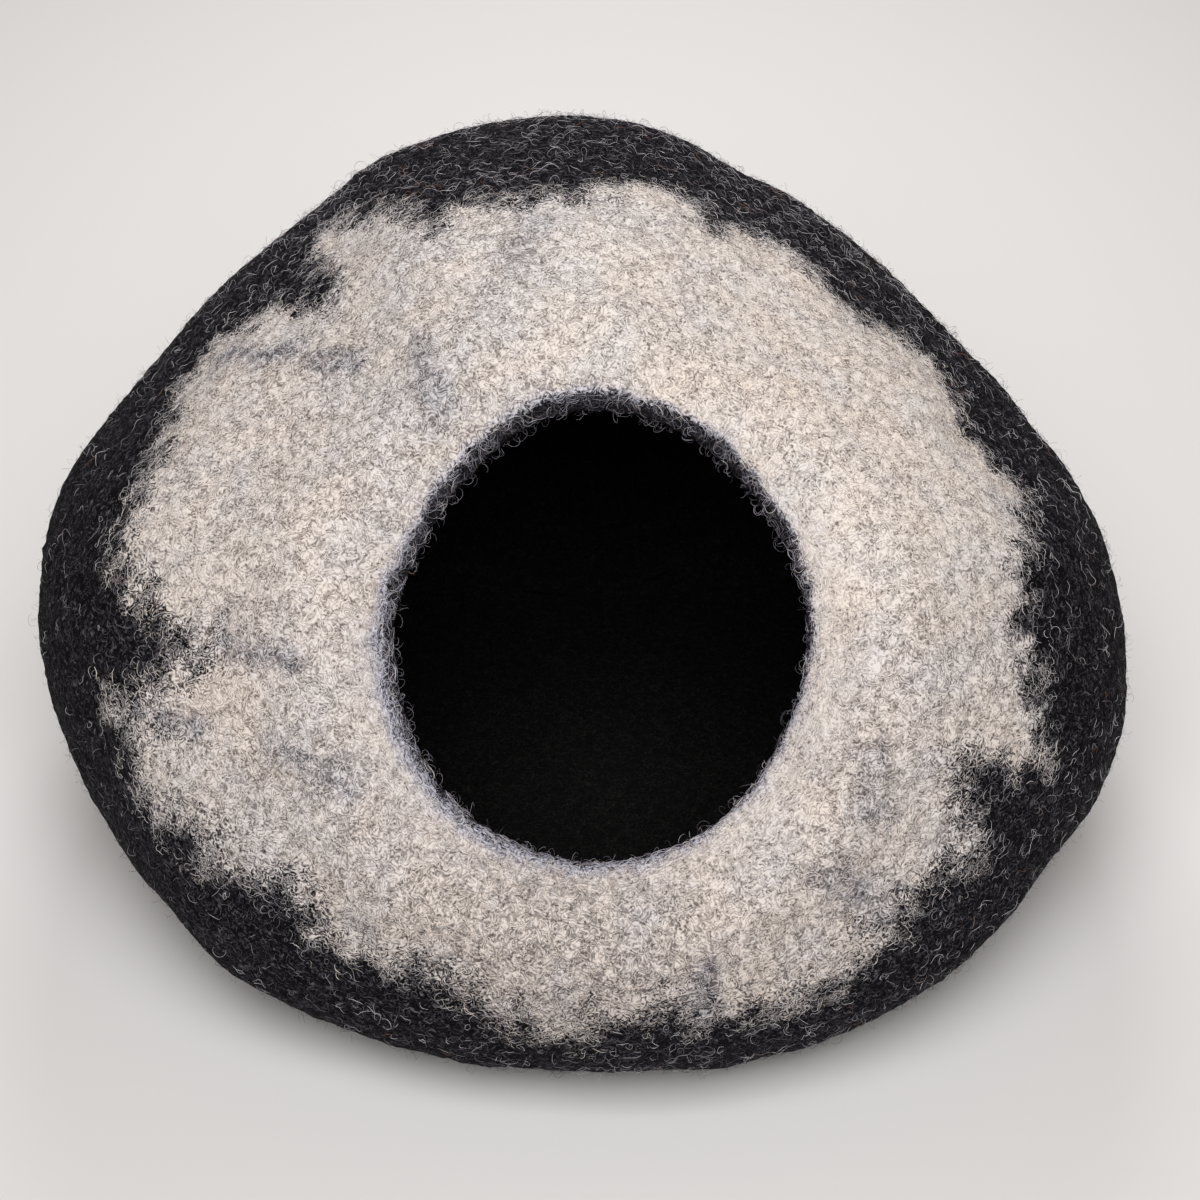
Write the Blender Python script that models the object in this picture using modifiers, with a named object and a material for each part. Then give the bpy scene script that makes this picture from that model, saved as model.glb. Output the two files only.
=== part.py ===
"""A felt cat cave, for Blender 4.5: a hollow, flattened dome of thick wool felt, made in one
piece, with a round mouth in its sloping front.

Units are metres and +Z is up. The mouth faces -Y, and the origin is on the floor, under the
middle of the cave.

Every point of the felt is found the same way. Start at the centre of the body and look along
the line that runs out through the mouth. Turn away from that line by an angle, towards a clock
direction (0 is the top of the mouth, 90 is +X). reach() says how far away the felt is.
"""
from math import asin, atan2, cos, exp, pi, radians, sin

import bmesh
import bpy
from mathutils import Vector

MM = 0.001

# The plain body, before its unevenness: how far it reaches from its centre.
HALF_LEFT = 254 * MM
HALF_RIGHT = 233 * MM
HALF_DEPTH = 238 * MM
CENTRE_HEIGHT = 109 * MM
REACH_UP = 199 * MM
REACH_DOWN = 146 * MM
BODY_SQUARENESS = 2.2      # 2 is an ellipsoid, more is boxier

# The sloping front, a soft flat across the mouth.
MOUTH_TILT = radians(36)   # how far the mouth looks up
FRONT_REACH = 208 * MM
FRONT_BLEND = 6.0          # less is softer

# The base goes flat over this height.
BASE_BLEND = 14 * MM

# The felt, and the lip that it rolls into at the mouth.
FELT = 8 * MM
LIP_DEPTH = 13 * MM
LIP_WIDTH = 32 * MM
SWELL_HEIGHT = 4 * MM
SWELL_FROM_EDGE = 46 * MM
SWELL_WIDTH = 20 * MM

# Steps round the mouth, and rings from the mouth to the far side of the body.
CLOCK_STEPS = 54
SPHERE_RINGS = 30
RINGS_CUT_AWAY = 3
RING_CROWDING = 1.25       # more than 1 draws the rings towards the mouth
EDGE_PASSES = 6            # tries at the angle of the mouth's edge, each closer than the last

DARK_WOOL = (0.045, 0.042, 0.047, 1)
FELT_ROUGHNESS = 0.95

# How uneven the felt is, every 20 degrees round the mouth.
# stands_out: mm that the widest part lies outside the plain body, or inside it if negative
# mouth: mm from the mouth's middle to its edge
UNEVENNESS = [
    # clock, stands_out, mouth
    (0, 24, 99),
    (20, 2, 96),
    (40, -15, 91),
    (60, -15, 88),
    (80, 2, 86),
    (100, 9, 84),
    (120, -3, 84),
    (140, 0, 85),
    (160, 3, 87),
    (180, 1, 89),
    (200, -2, 89),
    (220, -4, 89),
    (240, -11, 87),
    (260, -1, 86),
    (280, 8, 87),
    (300, -3, 87),
    (320, 4, 91),
    (340, 23, 97),
]

MOUTH_AXIS = Vector((0, -cos(MOUTH_TILT), sin(MOUTH_TILT)))
MOUTH_RIGHT = Vector((1, 0, 0))
MOUTH_TOP = Vector((0, sin(MOUTH_TILT), cos(MOUTH_TILT)))


def uneven(clock, column):
    """Read a column of the table at any clock angle, along a smooth closed curve."""
    rows = len(UNEVENNESS)
    place = clock / (2 * pi) * rows
    row = int(place // 1)
    t = place - row
    before, here, after, later = [UNEVENNESS[(row + i) % rows][column] for i in (-1, 0, 1, 2)]
    straight = here + (after - before) * t / 2
    bend = (2 * before - 5 * here + 4 * after - later) * t ** 2 / 2
    twist = (3 * here - before - 3 * after + later) * t ** 3 / 2
    return (straight + bend + twist) * MM


def direction(turn, clock):
    """The unit vector at an angle from the mouth's axis, towards a clock direction."""
    sideways = sin(clock) * MOUTH_RIGHT + cos(clock) * MOUTH_TOP
    return cos(turn) * MOUTH_AXIS + sin(turn) * sideways


def reach(turn, clock):
    """How far the felt is from the centre of the body."""
    way = direction(turn, clock)
    half = HALF_RIGHT if way.x > 0 else HALF_LEFT
    rise = REACH_UP if way.z > 0 else REACH_DOWN
    power = BODY_SQUARENESS
    shares = abs(way.x / half) ** power + abs(way.y / HALF_DEPTH) ** power + abs(way.z / rise) ** power
    body = shares ** (-1 / power)
    front = max(cos(turn), 0) / FRONT_REACH
    plain = (body ** -FRONT_BLEND + front ** FRONT_BLEND) ** (-1 / FRONT_BLEND)
    return plain + uneven(clock, 1) * sin(turn) ** 2


def mouth_angle(clock):
    """The angle from the mouth's axis at which the felt ends."""
    edge = uneven(clock, 2)
    turn = asin(edge / FRONT_REACH)
    for _ in range(EDGE_PASSES):
        turn = asin(edge / reach(turn, clock))
    return turn


def flatten(height):
    """Press the underside flat on the floor, with a soft bend round the base."""
    if height > BASE_BLEND:
        return height
    if height < -BASE_BLEND:
        return 0.0
    return (height + BASE_BLEND) ** 2 / (4 * BASE_BLEND)


def felt_point(turn, clock):
    """A point of the outer face, with the lip rolled in and the swelling round it."""
    distance = reach(turn, clock)
    from_edge = (turn - mouth_angle(clock)) * distance
    roll = max(1 - from_edge / LIP_WIDTH, 0) ** 2 * LIP_DEPTH
    swell = exp(-((from_edge - SWELL_FROM_EDGE) / SWELL_WIDTH) ** 2) * SWELL_HEIGHT
    point = direction(turn, clock) * distance + MOUTH_AXIS * (swell - roll)
    point.z = flatten(point.z + CENTRE_HEIGHT)
    return point


def felt_material():
    material = bpy.data.materials.new("dark_wool_felt")
    material.use_nodes = True
    shader = material.node_tree.nodes["Principled BSDF"]
    shader.inputs["Base Color"].default_value = DARK_WOOL
    shader.inputs["Roughness"].default_value = FELT_ROUGHNESS
    shader.inputs["Metallic"].default_value = 0.0
    return material


def outer_face():
    """The felt's outer face: a sphere, opened at one pole and moved ring by ring into shape."""
    mesh = bmesh.new()
    bmesh.ops.create_uvsphere(mesh, u_segments=CLOCK_STEPS, v_segments=SPHERE_RINGS, radius=1)
    first_ring = pi * RINGS_CUT_AWAY / SPHERE_RINGS
    half_a_ring = pi / SPHERE_RINGS / 2
    pole = Vector((0, 0, 1))
    cap = [v for v in mesh.verts if v.co.angle(pole) < first_ring - half_a_ring]
    bmesh.ops.delete(mesh, geom=cap, context='VERTS')
    for vertex in mesh.verts:
        clock = atan2(vertex.co.x, vertex.co.y) % (2 * pi)
        share = max(vertex.co.angle(pole) - first_ring, 0) / (pi - first_ring)
        edge = mouth_angle(clock)
        turn = edge + (pi - edge) * share ** RING_CROWDING
        vertex.co = felt_point(turn, clock)
    low = Vector([min(v.co[i] for v in mesh.verts) for i in range(3)])
    high = Vector([max(v.co[i] for v in mesh.verts) for i in range(3)])
    middle = (low + high) / 2
    bmesh.ops.translate(mesh, verts=mesh.verts, vec=(-middle.x, -middle.y, -low.z))
    bmesh.ops.recalc_face_normals(mesh, faces=mesh.faces)
    return mesh


def build_shell(collection):
    mesh = outer_face()
    data = bpy.data.meshes.new("felt_shell")
    mesh.to_mesh(data)
    mesh.free()
    data.shade_smooth()
    data.materials.append(felt_material())
    shell = bpy.data.objects.new("felt_shell", data)
    collection.objects.link(shell)
    felt = shell.modifiers.new("felt thickness", 'SOLIDIFY')
    felt.thickness = FELT
    felt.offset = -1           # the thickness goes inwards
    felt.use_even_offset = True
    return shell


def main():
    for old in list(bpy.data.objects):
        bpy.data.objects.remove(old, do_unlink=True)
    collection = bpy.data.collections.new("felt_cat_cave")
    bpy.context.scene.collection.children.link(collection)
    build_shell(collection)


main()
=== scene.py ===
# %% [markdown]
# # A felt cat cave
# The real cave is one seamless piece of wool, felted wet over a form until it is a thick shell,
# then cut open for a mouth and felted again, so that the cut edge closes. Here it is made in the
# same order: the frame from the CAD model, the felt shell, the wool's colours, and then the loose
# fibres that make felt look like felt. Lengths are in millimetres until a mesh is made.

# %% Load the frame
from math import cos, pi, radians, sin

import bpy
import numpy as np
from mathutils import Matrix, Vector


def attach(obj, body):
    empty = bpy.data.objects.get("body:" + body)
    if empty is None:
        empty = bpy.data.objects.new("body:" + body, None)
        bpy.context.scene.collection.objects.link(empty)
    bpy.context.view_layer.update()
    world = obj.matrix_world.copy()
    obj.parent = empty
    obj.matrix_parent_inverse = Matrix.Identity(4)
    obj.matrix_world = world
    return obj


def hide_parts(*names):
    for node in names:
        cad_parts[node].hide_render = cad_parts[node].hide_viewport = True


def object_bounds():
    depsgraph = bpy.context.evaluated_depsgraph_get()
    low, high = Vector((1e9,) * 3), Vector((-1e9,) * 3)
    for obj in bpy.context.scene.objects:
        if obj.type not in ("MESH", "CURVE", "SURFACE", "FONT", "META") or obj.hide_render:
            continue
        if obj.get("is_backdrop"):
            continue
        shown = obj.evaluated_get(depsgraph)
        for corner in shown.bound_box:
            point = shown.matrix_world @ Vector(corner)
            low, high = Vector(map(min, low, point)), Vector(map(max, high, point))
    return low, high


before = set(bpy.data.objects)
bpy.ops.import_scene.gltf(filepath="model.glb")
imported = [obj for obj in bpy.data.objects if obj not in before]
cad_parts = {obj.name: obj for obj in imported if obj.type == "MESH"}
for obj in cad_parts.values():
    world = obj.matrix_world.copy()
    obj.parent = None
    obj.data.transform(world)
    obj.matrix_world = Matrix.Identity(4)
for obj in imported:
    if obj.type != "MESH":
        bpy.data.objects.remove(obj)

MM = 0.001
cad_low, cad_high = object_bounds()
print("the CAD model is", [round(side / MM) for side in cad_high - cad_low], "mm")

# %% [markdown]
# ## The form
# A felted cave has no corners, so it suits a description in angles. Stand at the middle of the
# body and look out through the mouth: `turn` is how far a point lies from that line of sight, and
# `clock` is its direction round it, 0 at the top and 90 degrees at +X. `reach` says how far away
# the felt is. The numbers are the CAD model's own, so both have the same form.

# %% The CAD model's sizes
HALF_LEFT, HALF_RIGHT, HALF_DEPTH = 254, 233, 238
CENTRE_HEIGHT, REACH_UP, REACH_DOWN = 109, 199, 146
BODY_SQUARENESS = 2.2                                      # 2 is an ellipsoid, more is boxier
MOUTH_TILT = radians(36)                                   # how far the mouth looks up
FRONT_REACH, FRONT_BLEND = 208, 6.0                        # the flat across the mouth; less is softer
BASE_BLEND = 14                                            # the height over which the base goes flat
FELT = 8                                                   # how thick the felt is
LIP_DEPTH, LIP_WIDTH = 13, 32                              # how the lip rolls in at the mouth
SWELL_HEIGHT, SWELL_FROM_EDGE, SWELL_WIDTH = 4, 46, 20     # the swelling round it

# Every 20 degrees round the mouth, from its top: how far the widest part stands out, and how far
# the mouth's edge is from the mouth's middle.
STANDS_OUT = [24, 2, -15, -15, 2, 9, -3, 0, 3, 1, -2, -4, -11, -1, 8, -3, 4, 23]
MOUTH_EDGE = [99, 96, 91, 88, 86, 84, 84, 85, 87, 89, 89, 89, 87, 86, 87, 87, 91, 97]

MOUTH_AXIS = np.array([0, -cos(MOUTH_TILT), sin(MOUTH_TILT)])
MOUTH_RIGHT = np.array([1.0, 0, 0])
MOUTH_TOP = np.array([0, sin(MOUTH_TILT), cos(MOUTH_TILT)])
print("the mouth is", min(MOUTH_EDGE), "to", max(MOUTH_EDGE), "mm from its middle to its edge")


# %% Read a closed table
def around(clock, table):
    """Reads a table that goes once round the clock, along a smooth closed curve."""
    table = np.asarray(table, float)
    place = clock / (2 * pi) * len(table)
    row = np.floor(place).astype(int)
    t = place - row
    before, here, after, later = [table[(row + i) % len(table)] for i in (-1, 0, 1, 2)]
    straight = here + (after - before) * t / 2
    bend = (2 * before - 5 * here + 4 * after - later) * t ** 2 / 2
    twist = (3 * here - before - 3 * after + later) * t ** 3 / 2
    return straight + bend + twist


# %% How far away the felt is, in any direction
EDGE_PASSES = 6             # tries at the angle of the mouth's edge, each closer than the last


def direction(turn, clock):
    """The unit vector at an angle from the mouth's axis, towards a clock direction."""
    sideways = np.sin(clock)[..., None] * MOUTH_RIGHT + np.cos(clock)[..., None] * MOUTH_TOP
    return np.cos(turn)[..., None] * MOUTH_AXIS + np.sin(turn)[..., None] * sideways


def reach(turn, clock):
    """How far the felt is from the centre of the body."""
    x, y, z = np.moveaxis(direction(turn, clock), -1, 0)
    half = np.where(x > 0, HALF_RIGHT, HALF_LEFT)
    rise = np.where(z > 0, REACH_UP, REACH_DOWN)
    power = BODY_SQUARENESS
    shares = abs(x / half) ** power + abs(y / HALF_DEPTH) ** power + abs(z / rise) ** power
    body = shares ** (-1 / power)
    front = np.maximum(np.cos(turn), 0) / FRONT_REACH
    plain = (body ** -FRONT_BLEND + front ** FRONT_BLEND) ** (-1 / FRONT_BLEND)
    return plain + around(clock, STANDS_OUT) * np.sin(turn) ** 2


def mouth_angle(clock):
    """The turn at which the felt ends, round the mouth."""
    edge = around(clock, MOUTH_EDGE)
    turn = np.arcsin(edge / FRONT_REACH)
    for _ in range(EDGE_PASSES):
        turn = np.arcsin(edge / reach(turn, clock))
    return turn


# %% The outer face: the lip rolls in, and the base is pressed flat
body_centre = np.array([0.0, 0.0, CENTRE_HEIGHT])          # its x and y are found below


def plain_point(turn, clock):
    """The CAD model's outer face, about the body's centre."""
    distance = reach(turn, clock)
    from_edge = (turn - mouth_angle(clock)) * distance
    roll = np.maximum(1 - from_edge / LIP_WIDTH, 0) ** 2 * LIP_DEPTH
    swell = np.exp(-((from_edge - SWELL_FROM_EDGE) / SWELL_WIDTH) ** 2) * SWELL_HEIGHT
    return direction(turn, clock) * distance[..., None] + MOUTH_AXIS * (swell - roll)[..., None]


def set_down(points):
    """Puts points, which are about the body's centre, on the floor, and presses the base flat."""
    points = points + body_centre
    height = points[..., 2]
    bent = (height + BASE_BLEND) ** 2 / (4 * BASE_BLEND)
    points[..., 2] = np.select([height > BASE_BLEND, height < -BASE_BLEND], [height, 0.0], bent)
    return points


# %% Where the body's centre is in the CAD model
SAMPLES = 300
FIRST_TURN = 0.5            # radians, at the mouth; the widest places all lie further round

some_turns = np.linspace(FIRST_TURN, pi, SAMPLES)
some_clocks = np.linspace(0, 2 * pi, SAMPLES)
whole = set_down(plain_point(*np.meshgrid(some_turns, some_clocks))).reshape(-1, 3)
cad_middle = np.array((cad_low + cad_high) / 2) / MM
off_middle = cad_middle - (whole.min(0) + whole.max(0)) / 2
body_centre[:2] = np.trunc(off_middle[:2])                 # a whole mm is close enough
print("the body's centre is at", body_centre.round(1), "mm")

# %% [markdown]
# ## What handwork does to it
# Felt is rubbed and pressed by hand, so its face has broad dents and soft lumps, and at this
# cave's mouth the lip is fuller on one side and folded on another. A sum of many waves in random
# directions makes the lumps: it is smooth, it never repeats, and a fixed seed gives the same lumps
# each time. The folds are placed one by one, from the mouth's edge.

# %% Soft lumps
WAVES = 32
WAVE_LENGTHS = 0.7, 1.4     # the shortest and the longest, in parts of two lumps


def lumps(points, size, seed):
    """Smooth random lumps about `size` mm across, mostly between -1 and 1."""
    random = np.random.default_rng(seed)
    ways = random.normal(size=(WAVES, 3))
    ways /= np.linalg.norm(ways, axis=1)[:, None]
    lengths = 2 * size * random.uniform(*WAVE_LENGTHS, WAVES)
    starts = random.uniform(0, 2 * pi, WAVES)
    total = np.zeros(points.shape[:-1])
    for way, length, start in zip(ways, lengths, starts):
        total += np.cos(points @ way * (2 * pi / length) + start)
    return total / WAVES ** 0.5


# %% Folds and dents, placed one by one
# first and last are clock degrees; the rest is mm, and a negative height goes into the felt
FOLDS = [
    # what, first, last, from the mouth's edge, half width, height
    ("fold under the lip, lower left", 188, 258, 17, 5, -2.4),
    ("rolled lip, lower left", 190, 262, 6, 6, 1.8),
    ("full lip, right", 15, 125, 20, 13, 2.5),
    ("hollow, lower right", 128, 150, 30, 16, -2.0),
    ("dent below the mouth", 120, 165, 62, 24, -2.5),
    ("dent, left", 255, 285, 92, 30, -3.0),
    ("dent, upper left", 300, 325, 80, 24, -2.5),
    ("swelling, top", 320, 382, 268, 45, 3.4),
    ("swelling, upper right", 54, 66, 256, 40, 2.6),
    ("flat, right", 100, 114, 212, 40, -1.4),
    ("swelling, lower left", 218, 238, 172, 35, 4.2),
    ("flat, left", 244, 252, 198, 30, -2.8),
    ("swelling, left", 268, 280, 230, 40, 2.0),
    ("swelling, upper left", 292, 304, 257, 40, 2.0),
]
FOLD_FADE = radians(7)


def folds(clock, from_edge):
    """How far the folds and dents move the felt outwards, in mm."""
    total = np.zeros_like(from_edge)
    for _, first, last, distance, half_width, height in FOLDS:
        off_middle = abs((clock - radians(first + last) / 2 + pi) % (2 * pi) - pi)
        past_end = off_middle - radians(last - first) / 2
        along = 1 / (1 + np.exp(past_end / FOLD_FADE))
        total += height * along * np.exp(-((from_edge - distance) / half_width) ** 2)
    return total


print(len(FOLDS), "folds and dents are placed by hand")

# %% The felt's face with its unevenness
RELIEF = [(60, 1.6), (20, 0.6), (3.4, 0.4)]    # dents, humps and pebbles: size and height, in mm


def uneven_point(turn, clock):
    """The outer face as the scene shows it."""
    points = plain_point(turn, clock)
    from_edge = (turn - mouth_angle(clock)) * reach(turn, clock)
    relief = folds(clock, from_edge)
    for seed, (size, height) in enumerate(RELIEF):
        relief += height * lumps(points, size, seed)
    return set_down(points + direction(turn, clock) * relief[..., None])


# %% [markdown]
# ## The shell
# The shell is one closed grid of points: rings run from the far side of the body over the outside
# to the mouth, round the lip, and back along the inside. They are close together where the felt
# shows and turns sharply, and further apart at the back and inside. The lip is half a circle,
# made by letting the wall's thickness run out over its last few millimetres.

# %% How far each ring is from the mouth's edge
CLOCK_STEPS = 480
FAR_SIDE = 640              # mm from the mouth's edge to the far side
END_GAP = 4                 # mm that the last rings stay from the far side
HALF_FELT = FELT / 2
LIP_OVERHANG = 2            # mm that the round lip stands past the CAD model's square edge
LIP_STEPS = 6
FRONT_GAPS = 2.2, 2.5       # mm from the lip to the first ring of the front, and between its rings
FRONT_END, BACK_START, BACK_RINGS = 290, 297, 25
INSIDE_NEAR = 3.2, 60, 14   # the rings near the lip: from, to, and how many, ever further apart
INSIDE_FAR, INSIDE_FAR_RINGS = 80, 16

lip_bend = np.linspace(0, pi / 2, LIP_STEPS + 1)
lip = HALF_FELT * (1 - np.cos(lip_bend)) - LIP_OVERHANG
front = np.arange(lip[-1] + FRONT_GAPS[0], FRONT_END, FRONT_GAPS[1])
back = np.linspace(BACK_START, FAR_SIDE - END_GAP, BACK_RINGS)
inside_far = np.linspace(INSIDE_FAR, FAR_SIDE - END_GAP, INSIDE_FAR_RINGS)
outer_distances = np.concatenate([lip, front, back])
inner_distances = np.concatenate([lip, np.geomspace(*INSIDE_NEAR), inside_far])
ring_distance = np.concatenate([outer_distances[::-1], inner_distances[1:]])
rings = len(ring_distance)
print(rings, "rings of", CLOCK_STEPS, "points, the lip at ring", len(outer_distances) - 1)

# %% How deep each ring is in the felt, and how far from the lip's middle
outer_halves = np.full(len(outer_distances), HALF_FELT)
inner_halves = np.full(len(inner_distances), HALF_FELT)
outer_halves[:len(lip)] = inner_halves[:len(lip)] = HALF_FELT * np.sin(lip_bend)
ring_depth = np.concatenate([HALF_FELT - outer_halves[::-1], HALF_FELT + inner_halves[1:]])
# From the middle of the lip, along the felt: more than 0 outside, less than 0 inside.
from_lip = np.concatenate([outer_distances[::-1], -inner_distances[1:] - 2 * LIP_OVERHANG])
from_lip += LIP_OVERHANG
print("the rings lie from", ring_depth.min(), "to", ring_depth.max(), "mm deep in the felt")

# %% The points of the shell
NO_LENGTH = 1e-9            # takes the place of a length of zero where something is divided by it
SMALL_TURN = radians(0.5)   # how far to each side the points are that give the felt's slope


def unit(vectors):
    lengths = np.linalg.norm(vectors, axis=-1, keepdims=True)
    return vectors / np.maximum(lengths, NO_LENGTH)


def outwards_of(grid):
    """The outward direction at each point of a grid of rings and clock steps."""
    along_clock = np.roll(grid, -1, 1) - np.roll(grid, 1, 1)
    return unit(np.cross(np.gradient(grid, axis=0), along_clock))


clock_steps = np.arange(CLOCK_STEPS) * 2 * pi / CLOCK_STEPS
distance, clock = np.meshgrid(ring_distance, clock_steps, indexing="ij")
turn = mouth_angle(clock) + (pi - mouth_angle(clock)) * distance / FAR_SIDE
outer_face = uneven_point(turn, clock)
along_turn = uneven_point(turn + SMALL_TURN, clock) - uneven_point(turn - SMALL_TURN, clock)
along_clock = np.roll(outer_face, -1, 1) - np.roll(outer_face, 1, 1)
outwards = unit(np.cross(along_clock, along_turn))
skin = outer_face - outwards * ring_depth[:, None, None]
skin_outwards = outwards_of(skin)
print("the shell spans", (skin.max((0, 1)) - skin.min((0, 1))).round(), "mm")

# %% [markdown]
# ## Where the light wool lies
# The maker laid a patch of light wool on the black before felting. Its edge is ragged: tongues
# and bays a hand wide, which are listed here, and then finer raggedness down to single fibres,
# which is random. How far a place lies inside the patch decides how much of its wool is light.

# %% The edge of the light patch
# clock direction, and mm from the mouth's edge along the felt
LIGHT_EDGE = [
    (0, 150), (8, 164), (12, 164), (14, 138), (18, 163), (25, 167), (31, 160), (36, 152),
    (45, 170), (49, 175), (54, 157), (59, 142), (66, 143), (70, 151), (73, 130), (80, 107),
    (90, 100), (96, 104), (101, 114), (105, 118), (105, 90), (108, 74), (113, 85), (117, 95),
    (119, 107), (123, 95), (129, 88), (131, 94), (137, 88), (146, 95), (152, 94), (158, 83),
    (163, 83), (168, 68), (172, 66), (177, 74), (181, 75), (186, 88), (192, 84), (199, 78),
    (204, 69), (211, 70), (215, 80), (221, 86), (228, 83), (233, 80), (238, 98), (242, 113),
    (244, 104), (249, 124), (254, 130), (258, 121), (259, 110), (262, 134), (264, 108),
    (267, 99), (270, 85), (272, 97), (275, 108), (277, 124), (285, 135), (292, 142), (298, 162),
    (302, 180), (308, 188), (315, 171), (319, 143), (322, 137), (324, 163), (324, 195),
    (326, 204), (330, 185), (334, 164), (335, 144), (339, 134), (341, 145), (348, 137), (354, 140),
]
print("the light patch has", len(LIGHT_EDGE), "corners")

# %% Measure on the felt as if it were laid out flat
MOUTH_RADIUS = 88           # mm, of the flat felt's hole


def spread_flat(clock, from_edge):
    """Lays the felt out flat round the mouth, so that distances can be measured on it."""
    radius = MOUTH_RADIUS + from_edge
    return np.stack([radius * np.sin(clock), radius * np.cos(clock)], -1)


def off_line(places, start, end):
    """How far places are from the straight line between start and end."""
    way = end - start
    share = np.clip((places - start) @ way / (way @ way), 0, 1)
    return np.linalg.norm(places - start - share[..., None] * way, axis=-1)


def depth_in(outline, places):
    """How far inside an outline each place is; less than 0 is outside."""
    nearest = np.full(places.shape[:-1], np.inf)
    is_in = np.zeros(places.shape[:-1], bool)
    for start, end in zip(outline, np.roll(outline, -1, 0)):
        nearest = np.minimum(nearest, off_line(places, start, end))
        rise = end[1] - start[1] or NO_LENGTH
        level = (places[..., 1] - start[1]) / rise
        crosses = places[..., 0] < start[0] + level * (end[0] - start[0])
        is_in ^= (level >= 0) & (level < 1) & crosses
    return np.where(is_in, nearest, -nearest)


# %% Grey and painted shade in the light wool
# The light wool was thin in places, so the black shows through it as a grey bloom. The first table goes
# round the mouth in steps of 30 degrees. It is greyest below the mouth and least grey at the top and
# upper right: partly the bloom, and partly painted shade, darker towards the bottom because the light
# falls from above. The second says how clean the wool beside the lip is, which is partly cleaner wool
# and partly a painted highlight where the lip bulges towards the light. The last lists smudges and
# streaks. Some wool is also cooler than the rest.
BLOOM_AND_SHADE = [0.1, 0.05, 0, 0.35, 0.4, 0.45, 0.8, 0.65, 0.45, 0.35, 0.35, 0.35]
# The rim beside the lip is lighter partly because the wool is cleaner and partly as a painted
# highlight. This is strongest at the upper right, where the lip bulges towards the light.
CLEAN_AND_LIT_RIM = [0.6, 1, 1, 1, 0.8, 0.3, 0, 0, 0, 0.3, 0.5, 0.5]
CLEAN_AND_LIT_WIDTH = 34                                           # mm
COOLNESS = [0.27, 0.06, 0, 0.15, 0.05, -0.1, -0.4, -0.2, 0.1, -0.1, 0.1, 0.25]
SMUDGES = [
    # clock, mm from the edge, to clock, mm from the edge, half width, strength
    (306, 180, 319, 96, 7, 0.9),
    (325, 34, 328, 67, 8, 0.7),
    (347, 95, 351, 122, 12, 0.6),
    (112, 38, 120, 50, 10, 0.6),
    (134, 52, 134, 84, 9, 0.8),
    (243, 36, 252, 58, 9, 0.7),
    (259, 92, 262, 118, 5, 1.0),
    (268, 48, 271, 76, 6, 0.9),
    (163, 56, 165, 82, 7, 0.9),
]
print(len(SMUDGES), "smudges lie on the light wool")

# %% Where each wool begins and ends
# Every 30 degrees round the mouth, in mm from the middle of the lip: where the light wool begins, and
# where its bluish rim ends. At the top the light wool begins furthest from the lip. The dark band there
# is partly the black inside wrapping over the lip and partly painted shade on the lip's roll, which
# faces down, away from the light. A feather is how many mm wool thins out over, on each side of such an
# edge. The first feather is for the patch's outer edge.
LIGHT_FEATHER = [13, 16, 12, 11, 17, 18, 21, 20, 20, 18, 14, 14]
LIGHT_BEGINS = [11, 10, 7, 3.5, 2, 2, 2, 3, 5, 6, 9, 11]
LIP_FEATHER = [4, 4, 4, 3, 3, 4, 6, 7, 7, 5, 4, 4]
BLUISH_ENDS = [13, 11, 7, 4, 4, 4, 6, 8, 10, 11, 11, 13]
BLUISH_FEATHER = 3
RAGGED = [(9, 5.0), (3.5, 2.5)]                            # size and reach, in mm
RAGGED_SEED = 20
# Other edges are so many times less ragged than the patch's.
CALM_LIP, CALM_BLUE, CALM_SMUDGE = 6, 5, 2
# One part in so many: what a clean rim, with its painted highlight, takes off the grey and the
# coolness, and what a smudge adds to the coolness.
CLEAN_AND_LIT_PARTS, SMUDGE_COOLING = 12, 4
LEAST_GREY, MOST_GREY = -0.5, 1.6


# %% What wool there is, anywhere on the skin
def wool_at(points, clock, from_lip):
    """At each point, how deep it is in the patch, and shares of light, bluish, grey and cool wool. The
    grey share also holds painted shade, and the clean rim's painted highlight takes some of it off.
    """
    ragged = sum(reach_mm * lumps(points, size, RAGGED_SEED + i)
                 for i, (size, reach_mm) in enumerate(RAGGED))
    flat = spread_flat(clock, from_lip - LIP_OVERHANG)
    depth = depth_in(light_outline, flat) + ragged
    past_lip = from_lip - around(clock, LIGHT_BEGINS) + ragged / CALM_LIP
    patch = np.clip(0.5 + depth / around(clock, LIGHT_FEATHER) / 2, 0, 1)
    light = patch * np.clip(0.5 + past_lip / around(clock, LIP_FEATHER) / 2, 0, 1)
    past_blue = from_lip - around(clock, BLUISH_ENDS) + ragged / CALM_BLUE
    bluish = np.clip(0.5 - past_blue / BLUISH_FEATHER / 2, 0, 1) * patch
    clean_and_lit = around(clock, CLEAN_AND_LIT_RIM) * np.exp(-(from_lip / CLEAN_AND_LIT_WIDTH) ** 4)
    smudged = np.zeros_like(clean_and_lit)
    for clock_1, mm_1, clock_2, mm_2, half_width, strength in SMUDGES:
        ends = spread_flat(np.radians([clock_1, clock_2]), np.array([mm_1, mm_2]))
        off = off_line(flat, *ends) + ragged / CALM_SMUDGE
        smudged += strength * np.exp(-(off / half_width) ** 2)
    grey = around(clock, BLOOM_AND_SHADE) - clean_and_lit / CLEAN_AND_LIT_PARTS + smudged
    cool = around(clock, COOLNESS) + smudged / SMUDGE_COOLING - clean_and_lit / CLEAN_AND_LIT_PARTS
    return depth, light, bluish, np.clip(grey, LEAST_GREY, MOST_GREY), cool


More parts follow.
